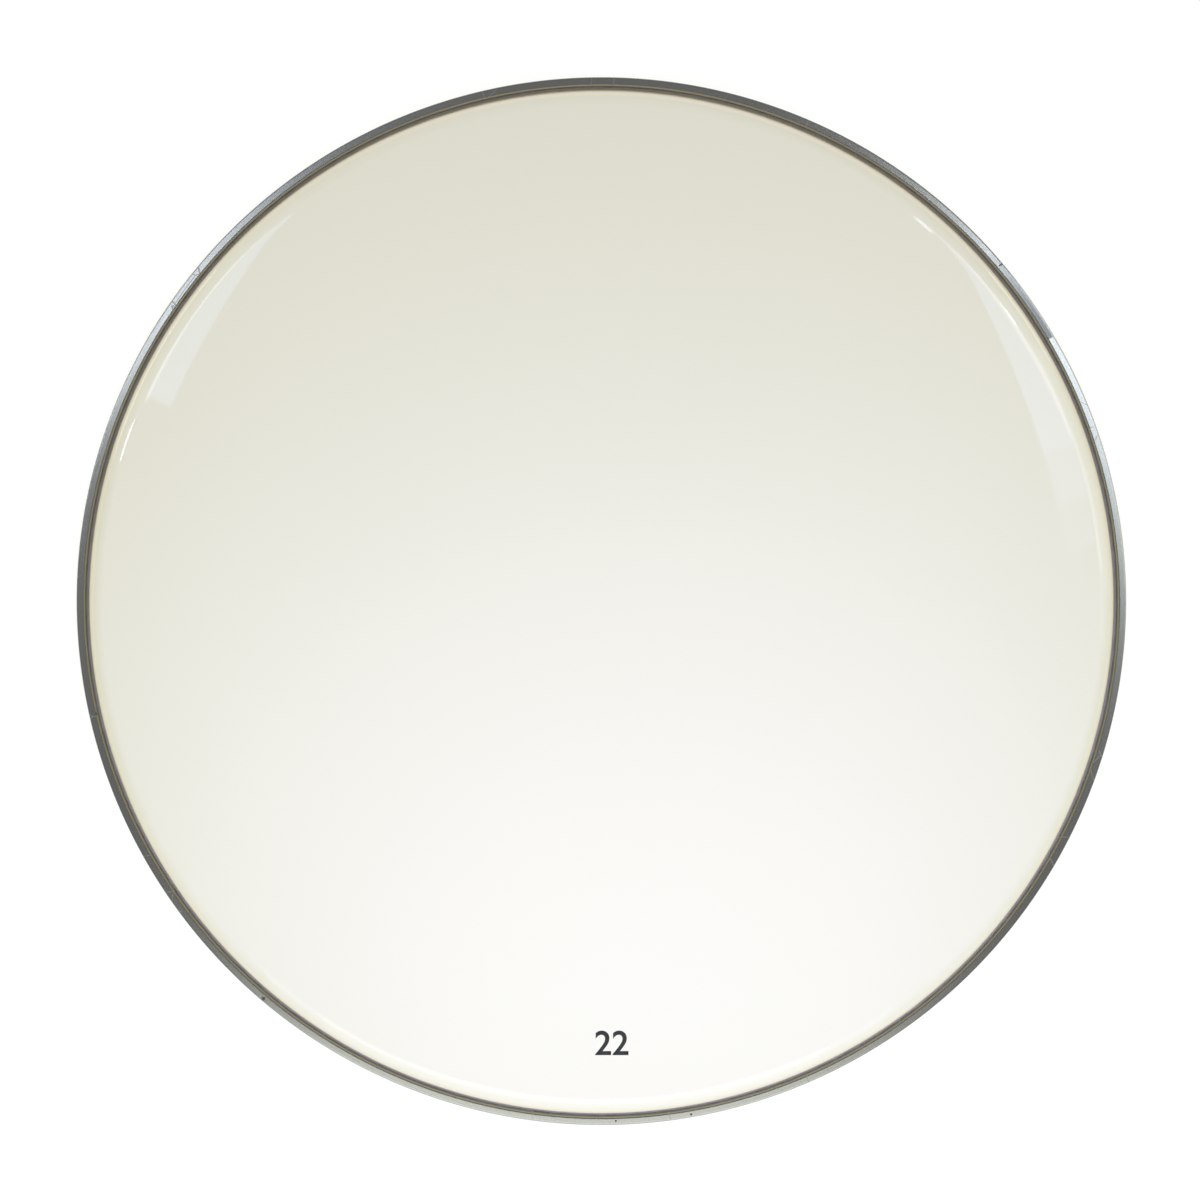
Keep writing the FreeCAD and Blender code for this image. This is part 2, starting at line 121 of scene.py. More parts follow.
# Pits in the hoop's top, and the stake that holds the splice pin: angle round the drum in degrees, distance
# in from the outside, half length along the hoop, half length across it and depth in millimetres
HOOP_PITS = (
    (192.1, 4.1, 0.6, 1.1, 0.25),
    (229.3, 1.6, 0.6, 1.6, 0.25),
    (271.6, 2.6, 0.6, 0.6, 0.18),
    (280.0, 2.0, 0.6, 0.8, 0.2),
)
PIN_STAKE = (40.6, 1.2, 0.9, 1.8, 0.25)
HOOP_DENTS = (*HOOP_PITS, PIN_STAKE)

# From the seam to the stake, the strip's end stands up more than the rest of the hoop
END_TURN = 11.0
END_RISE = math.radians(4.0)

# The drum's size in inches, as a printed number: its height, weight, place and ink thickness in millimetres
PRINT_WORDS = "22"
PRINT_SIZE = 19.0
PRINT_WEIGHT = 0.25
PRINT_PLACE = (5.7, -239.6)
PRINT_THICKNESS = 0.02
PRINT_CUTS = 3

# Colours of the finishes, each from one end of its variation to the other
FILM_MILK = (0.845, 0.827, 0.745), (0.835, 0.817, 0.738)
# The next colour is not the film's own: it is painted shade and colour fringe, laid on the film where it
# turns down towards the groove
FILM_PAINTED_SHADE = (0.7, 0.61, 0.47)
HOOP_METAL = (0.49, 0.495, 0.45), (0.55, 0.555, 0.505)
HOOP_DULLED = (0.5, 0.505, 0.46)
# The next colour turns the hoop near black in the middle of its pits
PIT_DARK_COLOUR = (0.07, 0.07, 0.08)
RESIN_GREY = (0.49, 0.475, 0.53), (0.56, 0.545, 0.6)
PIN_METAL = (0.4, 0.4, 0.41), (0.52, 0.52, 0.53)
PRINT_BLACK = (0.014, 0.014, 0.016), (0.03, 0.03, 0.032)

# Heights between which painted shade and colour fringe make the film's colour warmer and darker towards the
# groove, in millimetres
PAINTED_SHADE_FROM = 21.6
PAINTED_SHADE_TO = 16.2

# How far drawn lines wander, and how handling marks swing, fade in patches and dull the gloss
LINE_DRIFT = 6.0
MARK_BEND = 3.0
MARK_SWING = (0.12, 0.12, 0.12)
MARK_PATCHES = 21.0
MARKS_KEPT_ABOVE = 0.58
FILM_SCUFF = 0.12
HOOP_SCUFF = 0.15

# Slow waves and fine grain of the film's face: how close they are, and their height in metres
FILM_WAVES = 8.0
FILM_WAVE_HEIGHT = 0.00004
FILM_GRAIN = 700.0
FILM_GRAIN_HEIGHT = 0.0000006


def arc(centre, radius, start, end, steps):
    """Points of an arc from one angle to another, in degrees, with both its ends."""
    angles = [math.radians(start + (end - start) * step / steps) for step in range(steps + 1)]
    return [(centre[0] + radius * math.cos(a), centre[1] + radius * math.sin(a)) for a in angles]


def line(start, end, steps):
    """Points of a line between two points, without its ends."""
    shares = [step / steps for step in range(1, steps)]
    return [(start[0] + (end[0] - start[0]) * s, start[1] + (end[1] - start[1]) * s) for s in shares]


def film_skin(offset):
    """The film's section from the axis to its flange, on its upper face or an offset below it."""
    lean, roll_end = COLLAR_LEAN, 90 - math.degrees(ROLL_TURN)
    face = ROLL_DEPTH + ROLL_RADIUS - offset
    collar = (COLLAR_CENTRE, COLLAR_HEIGHT)
    points = [(FLAT_RADIUS * ring / FACE_RINGS, face) for ring in range(FACE_RINGS)]
    points += arc((FLAT_RADIUS, ROLL_DEPTH), ROLL_RADIUS - offset, 90, roll_end, ROLL_RINGS)
    points += arc(collar, COLLAR_RADIUS - offset, roll_end, lean, COLLAR_RINGS)[1:]
    points += arc((FOOT_CENTRE, FOOT_HEIGHT), FLANGE_BEND + offset, 180 + lean, 270, FOOT_RINGS)
    points.append((FLANGE_END, FLANGE_TOP - offset))
    return points


def film_height(reach):
    """Height of the film's upper face at a distance from the drum's axis, inside the collar."""
    past_flat = max(reach - FLAT_RADIUS, 0.0)
    return ROLL_DEPTH + math.sqrt(ROLL_RADIUS**2 - past_flat**2)


def hoop_section():
    """The strip's closed section, with the edges of the inner wall and the lip eased."""
    inner, outer = (BORE_RADIUS + BEND_OUTSIDE, BEND_OUTSIDE), (OUTER_RADIUS - BEND_OUTSIDE, BEND_OUTSIDE)
    top, lip = (TOP_CENTRE, TOP_HEIGHT), (LIP_CENTRE, LIP_HEIGHT)
    facing = 90 - TOP_FALL
    ease = EDGE_ROUND
    points = arc((BORE_RADIUS + ease, WALL_HEIGHT - ease), ease, 90, 180, EDGE_RINGS)
    points += arc(inner, BEND_OUTSIDE, 180, 270, BEND_RINGS)
    points += arc(outer, BEND_OUTSIDE, 270, 360, BEND_RINGS)
    outer_round = arc(top, TOP_OUTSIDE, 0, facing, BEND_RINGS)
    lip_round = arc(lip, LIP_OUTSIDE, facing, 180, LIP_RINGS)
    points += outer_round
    points += line(outer_round[-1], lip_round[0], TOP_RINGS)
    points += lip_round
    points += arc((LIP_FACE + ease, LIP_END + ease), ease, 180, 270, EDGE_RINGS)
    points += arc((LIP_BACK - ease, LIP_END + ease), ease, 270, 360, EDGE_RINGS)
    points += arc(lip, LIP_BEND, 180, facing, BEND_RINGS)
    points += arc(top, TOP_BEND, facing, 0, EDGE_RINGS)
    points += arc(outer, BEND_RADIUS, 360, 270, BEND_RINGS // 2)
    points += arc(inner, BEND_RADIUS, 270, 180, BEND_RINGS // 2)
    points += arc((WALL_BACK - ease, WALL_HEIGHT - ease), ease, 0, 90, EDGE_RINGS)
    return points


def dented(angle, reach, height):
    """Where the strip's lifted end and the dents move a point of the hoop's section."""
    sink = 0.0
    past_seam = (angle - SEAM_ANGLE) / END_TURN
    if height > HOOP_HEIGHT - EDGE_ROUND - STRIP_THICKNESS / 2:
        sink -= math.tan(END_RISE) * max(reach - LIP_CENTRE, 0.0) * max(1 - past_seam**2, 0.0)
        for dent_angle, inset, half_along, half_across, depth in HOOP_DENTS:
            along = math.radians((angle - dent_angle + 180) % 360 - 180) * reach
            across = OUTER_RADIUS - inset - reach
            closeness = 1 - (along / half_along) ** 2 - (across / half_across) ** 2
            sink += depth * max(closeness, 0.0) ** 2
    return reach, height - sink


def hoop_angles():
    """Angles of the hoop's columns, from one end of the strip to the other, closer at the dents."""
    half_gap = math.degrees(SEAM_GAP / HOLLOW_CENTRE) / 2
    start, end = SEAM_ANGLE + half_gap, SEAM_ANGLE + 360 - half_gap
    angles = {start + (end - start) * column / HOOP_COLUMNS for column in range(HOOP_COLUMNS + 1)}
    for dent_angle, _, half_along, _, _ in HOOP_DENTS:
        reach = math.degrees(half_along / HOLLOW_CENTRE)
        for column in range(DENT_COLUMNS + 1):
            angle = dent_angle + reach * (2 * column / DENT_COLUMNS - 1)
            angles.add(angle if angle > start else angle + 360)
    return sorted(angles)


def turned_piece(name, section, angles, whole, worn=None):
    """A piece made by turning a section round the drum's axis. A whole turn has an open section whose ends
    lie on the axis, and a part turn has a closed section and two end faces."""
    rows, columns = len(section), len(angles)
    points = []
    for angle in angles:
        turn = math.radians(angle)
        for reach, height in section:
            if worn:
                reach, height = worn(angle, reach, height)
            points.append((reach * math.cos(turn) * MM, reach * math.sin(turn) * MM, height * MM))
    faces = []
    for column in range(columns if whole else columns - 1):
        here, beside = column * rows, (column + 1) % columns * rows
        for row in range(rows - 1 if whole else rows):
            following = (row + 1) % rows
            faces.append((here + row, beside + row, beside + following, here + following))
    if not whole:
        faces.append(tuple(range(rows)))
        faces.append(tuple(range((columns - 1) * rows, columns * rows)))
    mesh = bpy.data.meshes.new(name)
    mesh.from_pydata(points, [], faces)
    weld(mesh)
    return place_piece(name, mesh)


def weld(mesh):
    """Joins points that lie together and turns all faces outward."""
    work = bmesh.new()
    work.from_mesh(mesh)
    bmesh.ops.remove_doubles(work, verts=work.verts, dist=WELD_DISTANCE)
    bmesh.ops.recalc_face_normals(work, faces=work.faces)
    work.to_mesh(mesh)
    work.free()
    mesh.shade_smooth()
    mesh.set_sharp_from_angle(angle=SHARP_ANGLE)


def place_piece(name, mesh):
    piece = bpy.data.objects.new(name, mesh)
    bpy.context.scene.collection.objects.link(piece)
    return piece



# Materials

def add(tree, kind, inputs=None, **settings):
    """A new node with its settings, and its inputs set to a value or linked to another node's output."""
    node = tree.nodes.new(kind)
    for key, value in settings.items():
        setattr(node, key, value)
    for key, value in (inputs or {}).items():
        if isinstance(value, bpy.types.NodeSocket):
            tree.links.new(value, node.inputs[key])
        else:
            node.inputs[key].default_value = value
    return node


def new_material(name, **constants):
    """A material with one Principled shader, whose named inputs hold constants."""
    material = bpy.data.materials.new(name)
    material.use_nodes = True
    tree = material.node_tree
    shader = tree.nodes["Principled BSDF"]
    for key, value in constants.items():
        shader.inputs[key.replace("_", " ")].default_value = value
    return material, tree, shader


def new_group(name, inputs, outputs):
    """A shader node group with float inputs, given with their default values, and float outputs."""
    tree = bpy.data.node_groups.new(name, "ShaderNodeTree")
    for label, value in inputs.items():
        socket = tree.interface.new_socket(label, in_out="INPUT", socket_type="NodeSocketFloat")
        socket.default_value = value
    for label in outputs:
        tree.interface.new_socket(label, in_out="OUTPUT", socket_type="NodeSocketFloat")
    return tree, add(tree, "NodeGroupInput"), add(tree, "NodeGroupOutput")


def use_group(tree, group, **inputs):
    node = add(tree, "ShaderNodeGroup", node_tree=group)
    for key, value in inputs.items():
        node.inputs[key].default_value = value
    return node


def ranged(tree, value, low, high):
    """A value from 0 to 1, taken to run from low to high."""
    node = add(tree, "ShaderNodeMapRange", {"Value": value, "To Min": low, "To Max": high})
    return node.outputs["Result"]


def between(tree, mask, first, second):
    """A colour that goes from the first to the second with a mask."""
    colours = {"A": first, "B": second}
    node = tree.nodes.new("ShaderNodeMix")
    node.data_type = "RGBA"
    tree.links.new(mask, node.inputs["Factor"])
    for key, colour in colours.items():
        socket = next(s for s in node.inputs if s.name == key and s.type == "RGBA")
        if isinstance(colour, bpy.types.NodeSocket):
            tree.links.new(colour, socket)
        else:
            socket.default_value = (*colour, 1.0)
    return next(s for s in node.outputs if s.type == "RGBA")


def reach_and_height(tree):
    """Distance from the drum's axis, and height, as values."""
    spot = add(tree, "ShaderNodeTexCoord").outputs["Object"]
    level = add(tree, "ShaderNodeVectorMath", {0: spot, 1: (1, 1, 0)}, operation="MULTIPLY")
    reach = add(tree, "ShaderNodeVectorMath", {0: level.outputs["Vector"]}, operation="LENGTH")
    height = add(tree, "ShaderNodeSeparateXYZ", {"Vector": spot})
    return reach.outputs["Value"], height.outputs["Z"]


def make_cloud_group():
    """Soft uneven patches, for milky film, cast resin and thin ink."""
    tree, entry, outlet = new_group("uneven_patches", {"Scale": 10.0, "Contrast": 1.0}, ["Patches"])
    spot = add(tree, "ShaderNodeTexCoord").outputs["Object"]
    wide = add(tree, "ShaderNodeTexNoise", {"Vector": spot, "Scale": entry.outputs["Scale"], "Detail": 4.0})
    centred = add(tree, "ShaderNodeMath", {0: wide.outputs["Fac"], 1: 0.5}, operation="SUBTRACT")
    spread = add(tree, "ShaderNodeMath", {0: centred.outputs[0], 1: entry.outputs["Contrast"], 2: 0.5})
    spread.operation = "MULTIPLY_ADD"
    spread.use_clamp = True
    tree.links.new(spread.outputs[0], outlet.inputs["Patches"])
    return tree


def make_line_group():
    """Fine lines along the hoop, as rolling and drawing leave them on metal."""
    tree, entry, outlet = new_group("drawn_lines", {"Density": 3000.0, "Sway": 4.0}, ["Lines"])
    spot = add(tree, "ShaderNodeTexCoord").outputs["Object"]
    reach, height = reach_and_height(tree)
    density = entry.outputs["Density"]
    dense_reach = add(tree, "ShaderNodeMath", {0: reach, 1: density}, operation="MULTIPLY")
    dense_height = add(tree, "ShaderNodeMath", {0: height, 1: density}, operation="MULTIPLY")
    sway = add(tree, "ShaderNodeTexNoise", {"Vector": spot, "Scale": entry.outputs["Sway"], "Detail": 2.0})
    drift = add(tree, "ShaderNodeMath", {0: sway.outputs["Fac"], 1: LINE_DRIFT}, operation="MULTIPLY")
    vector = {"X": dense_reach.outputs[0], "Y": dense_height.outputs[0], "Z": drift.outputs[0]}
    across = add(tree, "ShaderNodeCombineXYZ", vector)
    lines = add(tree, "ShaderNodeTexNoise", {"Vector": across.outputs[0], "Scale": 1.0, "Detail": 3.0})
    tree.links.new(lines.outputs["Fac"], outlet.inputs["Lines"])
    return tree


def make_hairline_group():
    """Sparse hairline marks from handling, in crossing directions, for film and hoop."""
    tree, entry, outlet = new_group("handling_marks", {"Scale": 12.0, "Thinness": 0.006}, ["Marks"])
    spot = add(tree, "ShaderNodeTexCoord").outputs["Object"]
    bend = add(tree, "ShaderNodeTexNoise", {"Vector": spot, "Scale": MARK_BEND, "Detail": 1.0})
    bent = {0: bend.outputs["Color"], 1: MARK_SWING}
    swing = add(tree, "ShaderNodeVectorMath", bent, operation="MULTIPLY")
    moved = add(tree, "ShaderNodeVectorMath", {0: spot, 1: swing.outputs[0]}, operation="ADD")
    cells = add(
        tree,
        "ShaderNodeTexVoronoi",
        {"Vector": moved.outputs[0], "Scale": entry.outputs["Scale"]},
        feature="DISTANCE_TO_EDGE",
    )
    hairline = add(tree, "ShaderNodeMath", {0: cells.outputs["Distance"], 1: entry.outputs["Thinness"]})
    hairline.operation = "LESS_THAN"
    patchy = add(tree, "ShaderNodeTexNoise", {"Vector": spot, "Scale": MARK_PATCHES, "Detail": 1.0})
    kept = add(tree, "ShaderNodeMath", {0: patchy.outputs["Fac"], 1: MARKS_KEPT_ABOVE})
    kept.operation = "GREATER_THAN"
    marks = add(tree, "ShaderNodeMath", {0: hairline.outputs[0], 1: kept.outputs[0]}, operation="MULTIPLY")
    tree.links.new(marks.outputs[0], outlet.inputs["Marks"])
    return tree


def bumped(tree, shader, height, strength, distance, under=None):
    """Adds a bump to the shader's normal, on top of another bump where one is given."""
    inputs = {"Height": height, "Strength": strength, "Distance": distance}
    if under:
        inputs["Normal"] = under.outputs["Normal"]
    bump = add(tree, "ShaderNodeBump", inputs)
    tree.links.new(bump.outputs["Normal"], shader.inputs["Normal"])
    return bump


def milky_film_material():
    """Glossy milky film: faintly cloudy, with painted shade and colour fringe, warmer and darker, where it
    turns down into the resin.
    """
    material, tree, shader = new_material("milky_film", IOR=1.6)
    cloud = use_group(tree, uneven_patches, Scale=7.0, Contrast=1.6).outputs["Patches"]
    marks = use_group(tree, handling_marks, Scale=9.0, Thinness=0.0025).outputs["Marks"]
    height = reach_and_height(tree)[1]
    milk = between(tree, cloud, *FILM_MILK)
    # Painted shade: the film's colour goes warmer and darker as its height falls towards the groove
    painted_shade_near_groove = add(
        tree,
        "ShaderNodeMapRange",
        {"Value": height, "From Min": PAINTED_SHADE_FROM * MM, "From Max": PAINTED_SHADE_TO * MM},
        interpolation_type="SMOOTHSTEP",
    )
    colour = between(tree, painted_shade_near_groove.outputs["Result"], milk, FILM_PAINTED_SHADE)
    tree.links.new(colour, shader.inputs["Base Color"])
    smudge = use_group(tree, uneven_patches, Scale=24.0, Contrast=1.4).outputs["Patches"]
    polish = ranged(tree, smudge, 0.02, 0.04)
    scuffed = add(tree, "ShaderNodeMath", {0: marks, 1: FILM_SCUFF, 2: polish}, operation="MULTIPLY_ADD")
    tree.links.new(scuffed.outputs[0], shader.inputs["Roughness"])
    spot = add(tree, "ShaderNodeTexCoord").outputs["Object"]
    wave = add(tree, "ShaderNodeTexNoise", {"Vector": spot, "Scale": FILM_WAVES, "Detail": 1.0})
    grain = add(tree, "ShaderNodeTexNoise", {"Vector": spot, "Scale": FILM_GRAIN, "Detail": 2.0})
    slow = bumped(tree, shader, wave.outputs["Fac"], 1.0, FILM_WAVE_HEIGHT)
    bumped(tree, shader, grain.outputs["Fac"], 1.0, FILM_GRAIN_HEIGHT, slow)
    return material


def pit_mask(tree):
    """A mask that is 1 in the middle of the hoop's pits and 0 outside them."""
    spot = add(tree, "ShaderNodeTexCoord").outputs["Object"]
    mask = None
    for angle, inset, half_along, half_across, _ in HOOP_PITS:
        turn, reach = math.radians(angle), (OUTER_RADIUS - inset) * MM
        middle = (reach * math.cos(turn), reach * math.sin(turn), HOOP_HEIGHT * MM)
        away = add(tree, "ShaderNodeVectorMath", {0: spot, 1: middle}, operation="DISTANCE")
        wide = max(half_along, half_across) * MM
        narrow = min(half_along, half_across) * MM / 2
        spread = {"Value": away.outputs["Value"], "From Min": wide, "From Max": narrow}
        near = add(tree, "ShaderNodeMapRange", spread).outputs["Result"]
        if mask:
            near = add(tree, "ShaderNodeMath", {0: mask, 1: near}, operation="MAXIMUM").outputs[0]
        mask = near
    return mask


def satin_aluminium_material():
    """Rolled strip: lines along the hoop, duller patches, and near-black colour in the middle of its pits.
    """
    material, tree, shader = new_material("satin_aluminium", Metallic=1.0)
    lines = use_group(tree, drawn_lines, Density=2600.0, Sway=9.0).outputs["Lines"]
    patches = use_group(tree, uneven_patches, Scale=14.0, Contrast=2.0).outputs["Patches"]
    marks = use_group(tree, handling_marks, Scale=60.0, Thinness=0.012).outputs["Marks"]
    bare = between(tree, lines, *HOOP_METAL)
    dulled = between(tree, patches, bare, HOOP_DULLED)
    # The middle of each pit is coloured near black
    colour = between(tree, pit_mask(tree), dulled, PIT_DARK_COLOUR)
    tree.links.new(colour, shader.inputs["Base Color"])
    satin = ranged(tree, lines, 0.2, 0.28)
    scuffed = add(tree, "ShaderNodeMath", {0: marks, 1: HOOP_SCUFF, 2: satin}, operation="MULTIPLY_ADD")
    tree.links.new(scuffed.outputs[0], shader.inputs["Roughness"])
    bumped(tree, shader, lines, 0.6, 0.00002)
    return material


def cast_resin_material():
    """Cast resin, pale grey and half dull, with an uneven poured surface."""
    material, tree, shader = new_material("cast_resin")
    patches = use_group(tree, uneven_patches, Scale=160.0, Contrast=2.0).outputs["Patches"]
    tree.links.new(between(tree, patches, *RESIN_GREY), shader.inputs["Base Color"])
    tree.links.new(ranged(tree, patches, 0.35, 0.6), shader.inputs["Roughness"])
    bumped(tree, shader, patches, 0.8, 0.0003)
    return material


def pin_steel_material():
    """Drawn steel wire."""
    material, tree, shader = new_material("pin_steel", Metallic=1.0)
    lines = use_group(tree, drawn_lines, Density=6000.0, Sway=30.0).outputs["Lines"]
    tree.links.new(between(tree, lines, *PIN_METAL), shader.inputs["Base Color"])
    tree.links.new(ranged(tree, lines, 0.25, 0.4), shader.inputs["Roughness"])
    bumped(tree, shader, lines, 0.5, 0.00001)
    return material


def print_ink_material():
    """Black screen ink, thin enough to be a little uneven."""
    material, tree, shader = new_material("print_ink")
    patches = use_group(tree, uneven_patches, Scale=400.0, Contrast=1.5).outputs["Patches"]
    tree.links.new(between(tree, patches, *PRINT_BLACK), shader.inputs["Base Color"])
    tree.links.new(ranged(tree, patches, 0.3, 0.45), shader.inputs["Roughness"])
    bumped(tree, shader, patches, 0.4, 0.00002)
    return material


def dress(piece, material):
    piece.data.materials.clear()
    piece.data.materials.append(material)


uneven_patches = make_cloud_group()
drawn_lines = make_line_group()
handling_marks = make_hairline_group()


# Pieces

def make_film():
    """The moulded film: its upper face out to the flange, and its lower face back to the axis."""
    upper = film_skin(0.0)
    lower = film_skin(FILM_THICKNESS)
    columns = [360 * column / FILM_COLUMNS for column in range(FILM_COLUMNS)]
    film = turned_piece("moulded_film", upper + lower[::-1], columns, True)
    dress(film, milky_film_material())
    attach(film, "root")
    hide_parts("head_film")


def make_hoop():
    """The rolled strip, open at its seam, with the pin's stake and the pits of use."""
    hoop = turned_piece("rolled_hoop", hoop_section(), hoop_angles(), False, dented)
    dress(hoop, satin_aluminium_material())
    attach(hoop, "root")
    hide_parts("hoop_channel")


def make_size_print():
    """The drum's size in inches, printed as a plain number near the film's lower edge."""
    words = bpy.data.curves.new("size_print_words", "FONT")
    words.body = PRINT_WORDS
    words.size = PRINT_SIZE * MM
    words.offset = PRINT_WEIGHT * MM
    words.align_x = "CENTER"
    words.align_y = "CENTER"
    words.fill_mode = "FRONT"
    carrier = place_piece("size_print_carrier", words)
    bpy.context.view_layer.update()
    mesh = bpy.data.meshes.new_from_object(carrier.evaluated_get(bpy.context.evaluated_depsgraph_get()))
    bpy.data.objects.remove(carrier)
    work = bmesh.new()
    work.from_mesh(mesh)
    bmesh.ops.remove_doubles(work, verts=work.verts, dist=WELD_DISTANCE)
    bmesh.ops.triangulate(work, faces=work.faces)
    bmesh.ops.subdivide_edges(work, edges=work.edges, cuts=PRINT_CUTS, use_grid_fill=True)
    for vertex in work.verts:
        vertex.co.x += PRINT_PLACE[0] * MM
        vertex.co.y += PRINT_PLACE[1] * MM
        reach = math.hypot(vertex.co.x, vertex.co.y) / MM
        vertex.co.z = (film_height(reach) + PRINT_THICKNESS) * MM
    bmesh.ops.recalc_face_normals(work, faces=work.faces)
    work.to_mesh(mesh)
    work.free()
    label = place_piece("size_print", mesh)
    skin = label.modifiers.new("ink_thickness", "SOLIDIFY")
    skin.thickness = 2 * PRINT_THICKNESS * MM
    skin.offset = -1.0
    dress(label, print_ink_material())
    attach(label, "root")


make_film()
make_hoop()
make_size_print()
dress(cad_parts["resin_bond"], cast_resin_material())
dress(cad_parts["splice_pin"], pin_steel_material())


# Studio

# Lengths of the studio are in metres. Lamps that overlap hang at heights of their own.
FLOOR_HALF = 30.0
FLOOR_DROP = 0.0002
FLOOR_COLOUR = (0.8, 0.8, 0.79, 1.0)
FLOOR_SHADED = (0.25, 0.25, 0.25, 1.0)
FLOOR_WHITE = (1.0, 1.0, 1.0, 1.0)
FLOOR_GLOW = 0.85
CAMERA_DISTANCE = 2.0
CAMERA_TILT = math.radians(3.2)
CAMERA_AIM = Vector((-0.00076, 0.0040, 0.009))
FRAME_WIDTH = 0.6569
SENSOR_WIDTH = 36.0
WALL_FILL = (1.38, 1.36, 0.98)
CEILING_FILL = (0.395, 0.42, 0.3)
ROOM_SEEN = (0.19, 0.19, 0.205)
KEY_COLOUR = (0.995, 1.025, 1.6)
PANEL_COLOUR = (1.0, 0.8, 2.45)
SOFTBOX_COLOUR = (0.67, 1.0, 1.62)
CORE_COLOUR = (1.1, 1.0, 0.85)
SPARK_COLOUR = (0.92, 1.0, 1.25)
CARD_COLOUR = (1.0, 1.02, 1.0)
CARD_REACH = 0.72
CARD_STEP = 8.0
CARD_END_SHARE = 0.5
SOFTBOX_HEIGHT = 1.5
CORE_HEIGHT = 1.45
SPARK_HEIGHT = 1.4
STRIP_REACH = 0.39
STRIP_DEPTH = 0.12
STRIP_HEIGHT = 0.004


def make_floor():
    """A pale floor that stays white to the camera and in reflections, and keeps the shadow of the head."""
    mesh = bpy.data.meshes.new("studio_floor")
    half = FLOOR_HALF
    corners = [(-half, -half), (half, -half), (half, half), (-half, half)]
    mesh.from_pydata([(x, y, -FLOOR_DROP) for x, y in corners], [], [(0, 1, 2, 3)])
    floor = place_piece("studio_floor", mesh)
    material = bpy.data.materials.new("pale_floor")
    material.use_nodes = True
    tree = material.node_tree
    tree.nodes.remove(tree.nodes["Principled BSDF"])
    plain = add(tree, "ShaderNodeBsdfDiffuse", {"Color": FLOOR_COLOUR})
    shaded = add(tree, "ShaderNodeBsdfDiffuse", {"Color": FLOOR_SHADED})
    white = add(tree, "ShaderNodeEmission", {"Color": FLOOR_WHITE, "Strength": FLOOR_GLOW})
    seen = add(tree, "ShaderNodeAddShader", {0: shaded.outputs[0], 1: white.outputs[0]})
    path = add(tree, "ShaderNodeLightPath")
    looked_at = path.outputs["Is Camera Ray"]
    for ray in ("Is Glossy Ray", "Is Transmission Ray"):
        either = add(tree, "ShaderNodeMath", {0: looked_at, 1: path.outputs[ray]}, operation="MAXIMUM")
        looked_at = either.outputs[0]
    mixed = add(tree, "ShaderNodeMixShader", {0: looked_at, 1: plain.outputs[0], 2: seen.outputs[0]})
    tree.links.new(mixed.outputs[0], tree.nodes["Material Output"].inputs["Surface"])
    dress(floor, material)


def make_soft_light(name, place, aim, size, radiance, colour, turn=0.0):
    """A rectangular lamp that faces a point. Its radiance is 1 where a white card would look white."""
    lamp = bpy.data.lights.new(name, "AREA")
    lamp.shape = "RECTANGLE"
    lamp.size, lamp.size_y = size
    lamp.color = colour
    lamp.energy = radiance * math.pi * lamp.size * lamp.size_y
    holder = bpy.data.objects.new(name, lamp)
    holder.location = place
    holder.rotation_euler = (Vector(aim) - Vector(place)).to_track_quat("-Z", "Y").to_euler()
    holder.rotation_euler.rotate_axis("Z", math.radians(turn))
    holder.visible_camera = False
    bpy.context.scene.collection.objects.link(holder)
    return holder


def make_room():
    """Even light from all round, stronger from the walls than from above. Reflections show a dim room."""
    world = bpy.data.worlds.new("studio_room")
    bpy.context.scene.world = world
    world.use_nodes = True
    tree = world.node_tree
    direction = add(tree, "ShaderNodeTexCoord").outputs["Generated"]
    height = add(tree, "ShaderNodeSeparateXYZ", {"Vector": direction}).outputs["Z"]
    fill = between(tree, ranged(tree, height, 0.0, 1.0), WALL_FILL, CEILING_FILL)
    mirrored = add(tree, "ShaderNodeLightPath").outputs["Is Glossy Ray"]
    tree.links.new(between(tree, mirrored, fill, ROOM_SEEN), tree.nodes["Background"].inputs["Color"])


def light_only(lamp):
    """Keeps a lamp out of reflections."""
    lamp.visible_glossy = False


def mirror_only(lamp):
    """Shows a lamp in reflections alone."""
    lamp.visible_diffuse = False


def make_cards(name, start, end, low, high, radiance):
    """Upright cards on an arc round the head, seen in reflections alone. Those at its ends are dimmer."""
    count = round((end - start) / CARD_STEP)
    step = math.radians(end - start) / count
    middle = (low + high) / 2
    size = (2 * CARD_REACH * math.tan(step / 2), high - low)
    for number in range(count):
        angle = math.radians(start) + (number + 0.5) * step
        place = (CARD_REACH * math.cos(angle), CARD_REACH * math.sin(angle), middle)
        level = radiance * CARD_END_SHARE if number in (0, count - 1) else radiance
        card = make_soft_light(f"{name}_{number}", place, (0.0, 0.0, middle), size, level, CARD_COLOUR)
        mirror_only(card)


def make_overhead(name, place, height, size, radiance, colour, turn):
    """A lamp that hangs level above the head, seen in reflections alone."""
    mirror_only(make_soft_light(name, (*place, height), (*place, 0.0), size, radiance, colour, turn))


def make_floor_strip(name, angle, width, radiance):
    """A lamp on the floor beside the hoop, seen in reflections alone."""
    turn = math.radians(angle)
    place = (STRIP_REACH * math.cos(turn), STRIP_REACH * math.sin(turn), STRIP_HEIGHT)
    size = (STRIP_REACH * math.radians(width), STRIP_DEPTH)
    aim = (place[0], place[1], 1.0)
    mirror_only(make_soft_light(name, place, aim, size, radiance, CARD_COLOUR, 90.0 - angle))


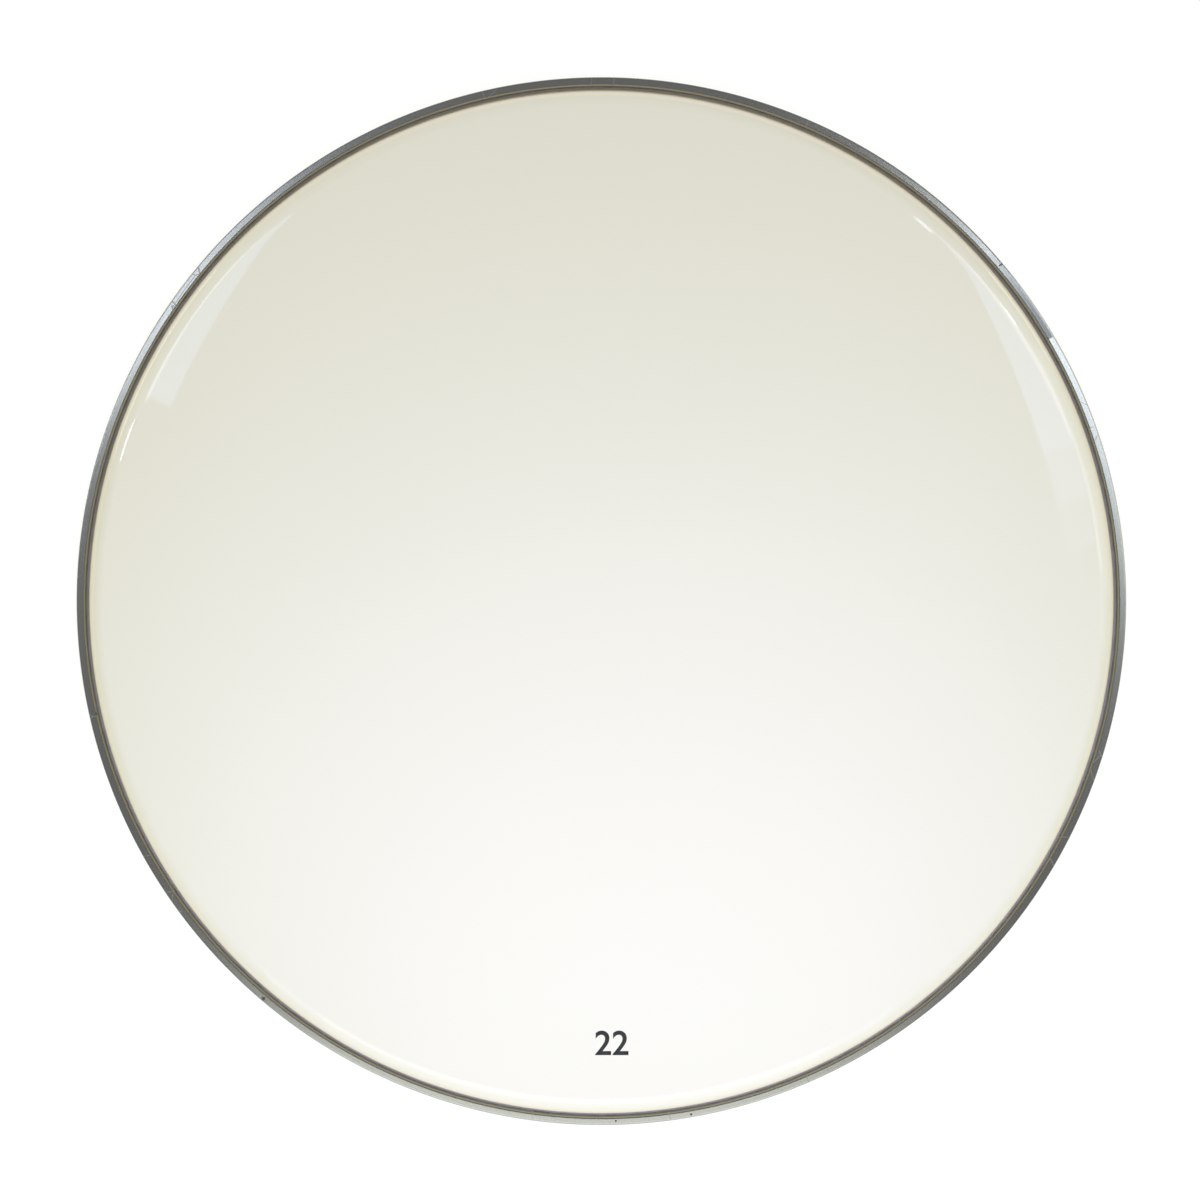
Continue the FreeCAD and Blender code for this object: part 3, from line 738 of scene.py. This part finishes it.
def make_lights():
    """A soft key over the lower half of the head, and a panel beyond its upper side. The rest is what the
    film and the hoop mirror: cards round the head, strips on the floor, and softboxes with a bright core."""
    key_place, key_aim = (0.03, -0.25, 0.4), (0.03, -0.25, 0.0)
    light_only(make_soft_light("key_lamp", key_place, key_aim, (0.6, 0.6), 1.06, KEY_COLOUR))
    panel_place, panel_aim = (0.0, 1.2, 0.8), (0.0, 0.2, 0.0)
    light_only(make_soft_light("high_panel", panel_place, panel_aim, (1.6, 0.8), 0.4, PANEL_COLOUR))
    make_cards("low_card", 230, 303, 0.03, 0.5, 0.75)
    make_cards("low_upper_card", 230, 303, 0.5, 1.22, 1.45)
    make_cards("right_card", -8, 36, 0.03, 1.3, 0.75)
    make_cards("right_upper_card", -8, 26, 0.6, 1.35, 0.75)
    make_cards("left_card", 128, 168, 0.03, 1.13, 0.35)
    make_floor_strip("right_strip", 34.0, 12.0, 1.8)
    make_floor_strip("left_strip", 151.0, 22.0, 2.2)
    box, core, spark = SOFTBOX_HEIGHT, CORE_HEIGHT, SPARK_HEIGHT
    make_overhead("left_softbox", (-0.624, 0.383), box, (0.33, 0.24), 1.25, SOFTBOX_COLOUR, 65.5)
    make_overhead("left_core", (-0.709, 0.412), core, (0.33, 0.28), 1.8, CORE_COLOUR, 65.5)
    make_overhead("left_spark", (-1.4, 0.381), box, (0.12, 0.5), 6.0, SPARK_COLOUR, 75.0)
    make_overhead("right_softbox", (0.658, 0.325), box, (0.37, 0.24), 1.15, SOFTBOX_COLOUR, -75.1)
    make_overhead("right_softbox_end", (0.714, 0.111), box, (0.07, 0.24), 0.75, SOFTBOX_COLOUR, -75.1)
    make_overhead("right_softbox_tip", (0.732, 0.044), box, (0.07, 0.24), 0.35, SOFTBOX_COLOUR, -75.1)
    make_overhead("right_core", (0.704, 0.401), core, (0.4, 0.3), 1.3, CORE_COLOUR, -60.3)
    make_overhead("right_spark", (0.711, 0.419), spark, (0.04, 0.25), 4.5, SPARK_COLOUR, -58.0)
    make_overhead("upper_spark", (0.478, 0.478), core, (0.03, 0.07), 4.0, SPARK_COLOUR, -45.0)


def make_camera():
    """Camera almost straight above, leaning a little towards the head's upper side."""
    data = bpy.data.cameras.new("overhead_camera")
    data.sensor_width = SENSOR_WIDTH
    data.lens = SENSOR_WIDTH * CAMERA_DISTANCE / FRAME_WIDTH
    data.clip_start = 0.01
    data.clip_end = 100.0
    camera = bpy.data.objects.new("overhead_camera", data)
    lean = Vector((0.0, math.sin(CAMERA_TILT), math.cos(CAMERA_TILT)))
    camera.location = CAMERA_AIM + lean * CAMERA_DISTANCE
    camera.rotation_euler = (-CAMERA_TILT, 0.0, 0.0)
    bpy.context.scene.collection.objects.link(camera)
    bpy.context.scene.camera = camera


make_floor()
make_room()
make_lights()
make_camera()
bpy.context.scene.view_settings.view_transform = "Standard"
